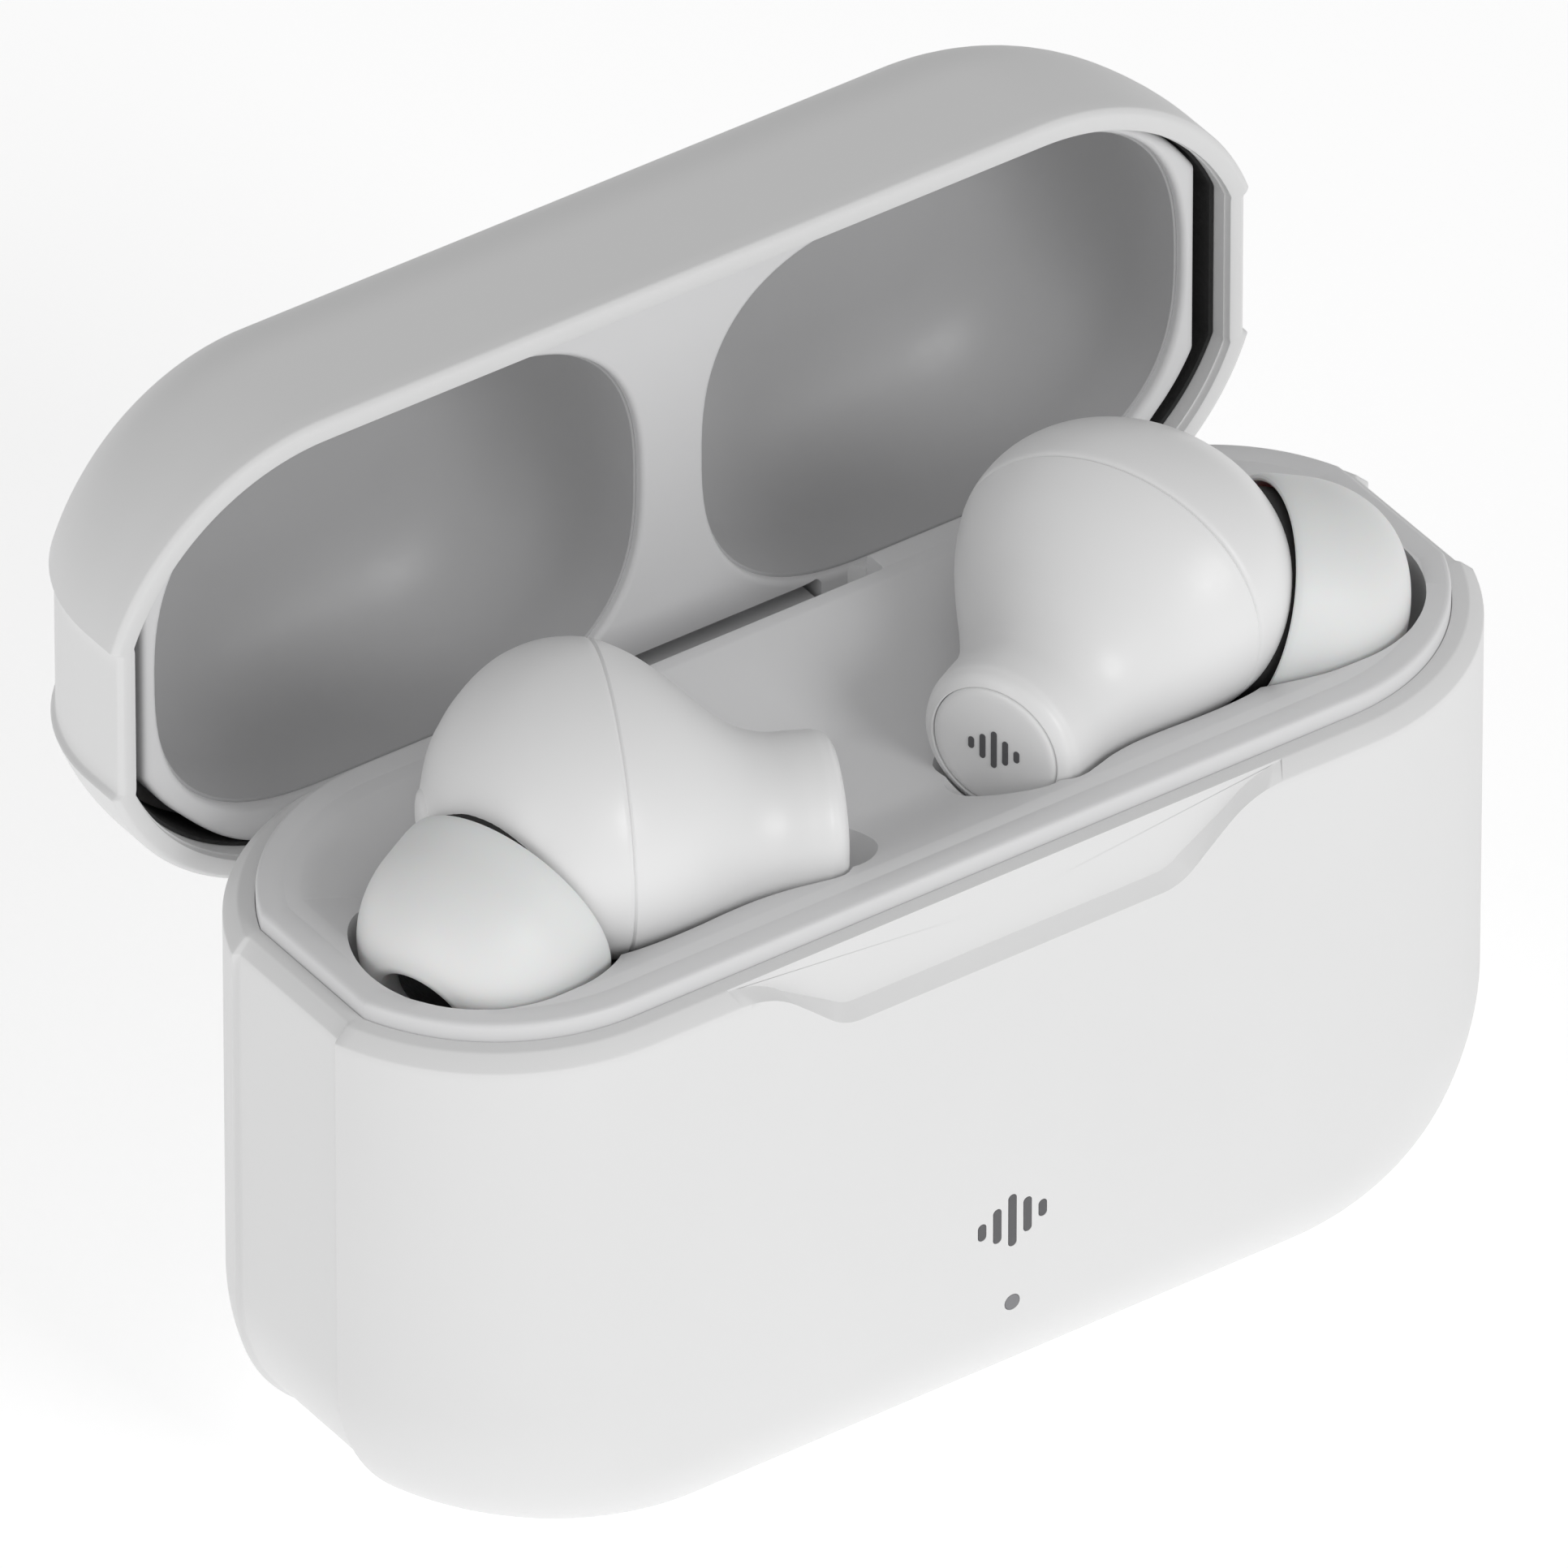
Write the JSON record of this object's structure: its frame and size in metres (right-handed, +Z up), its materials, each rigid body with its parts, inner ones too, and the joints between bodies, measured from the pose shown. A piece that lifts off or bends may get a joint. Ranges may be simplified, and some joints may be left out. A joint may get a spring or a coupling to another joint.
{
  "type": "wireless earbuds charging case",
  "caption": "Hinged pocket case that stores and charges a pair of in-ear wireless earbuds, shown with its lid open and both earbuds seated.",
  "frame": {"origin": "centre of the flat underside of the case body", "axes": "+X along the case's length to the right seen from the front, -Y the front face with the mark, +Y the rear face with the hinge and charging port, +Z up"},
  "size_m": [0.0636, 0.0382, 0.0487],
  "materials": {
    "case_plastic": "fine matt white",
    "tray_plastic": "satin pale grey-white",
    "dish_plastic": "soft grey",
    "mark_ink": "grey inlay",
    "light_pipe": "clear plastic",
    "steel": "plated steel",
    "dark_plastic": "black plastic",
    "board": "green solder mask",
    "cell_can": "aluminium can",
    "foam": "foam pad",
    "gold": "gold plated",
    "magnet": "nickel plated",
    "bud_plastic": "satin white",
    "silicone": "white silicone",
    "mesh": "fine black mesh"
  },
  "bodies": {
    "case": {"outer_shell": "case_plastic", "front_mark": "mark_ink", "light_pipe": "light_pipe", "tray": "tray_plastic", "hinge_bracket": "steel", "hinge_pin": "steel", "bracket_screws": "steel", "usb_port": "steel", "usb_tongue": "dark_plastic", "main_board": "board", "board_screws": "steel", "board_chips": "dark_plastic", "battery": "cell_can", "battery_pad": "foam", "charge_board": "board", "charge_screws": "steel", "pogo_barrels": "gold", "bud_magnets": "magnet", "lock_magnet": "magnet"},
    "lid": {"lid_shell": "case_plastic", "lid_liner": "tray_plastic", "lid_dish_left": "dish_plastic", "lid_dish_right": "dish_plastic", "lid_magnet": "magnet", "hinge_arm": "tray_plastic", "arm_screws": "steel"},
    "bud_left": {"inner_housing_left": "bud_plastic", "outer_housing_left": "bud_plastic", "touch_plate_left": "bud_plastic", "touch_mark_left": "mark_ink", "ear_tip_left": "silicone", "tip_mesh_left": "mesh", "driver_left": "dark_plastic", "bud_cell_left": "cell_can", "bud_board_left": "board", "bud_contacts_left": "gold", "bud_pull_left": "magnet"},
    "bud_right": {"inner_housing_right": "bud_plastic", "outer_housing_right": "bud_plastic", "touch_plate_right": "bud_plastic", "touch_mark_right": "mark_ink", "ear_tip_right": "silicone", "tip_mesh_right": "mesh", "driver_right": "dark_plastic", "bud_cell_right": "cell_can", "bud_board_right": "board", "bud_contacts_right": "gold", "bud_pull_right": "magnet"},
    "pogo_left": {"pogo_left": "gold"},
    "pogo_right": {"pogo_right": "gold"}
  },
  "joints": [
    {"name": "lid_hinge", "type": "hinge", "parent": "case", "child": "lid", "pos_m": [0, 0.00975, 0.02645], "axis": [1, 0, 0], "range_deg": [0, 90]},
    {"name": "bud_left_lift", "type": "slide", "parent": "case", "child": "bud_left", "axis": [0, 0, 1], "range_m": [0, 0.04]},
    {"name": "bud_right_lift", "type": "slide", "parent": "case", "child": "bud_right", "axis": [0, 0, 1], "range_m": [0, 0.04]},
    {"name": "pogo_left_press", "type": "slide", "parent": "case", "child": "pogo_left", "axis": [0, 0, 1], "range_m": [-0.0005, 0], "stiffness_N_per_m": 100, "springref_m": 0.0005},
    {"name": "pogo_right_press", "type": "slide", "parent": "case", "child": "pogo_right", "axis": [0, 0, 1], "range_m": [-0.0005, 0], "stiffness_N_per_m": 100, "springref_m": 0.0005}
  ]
}
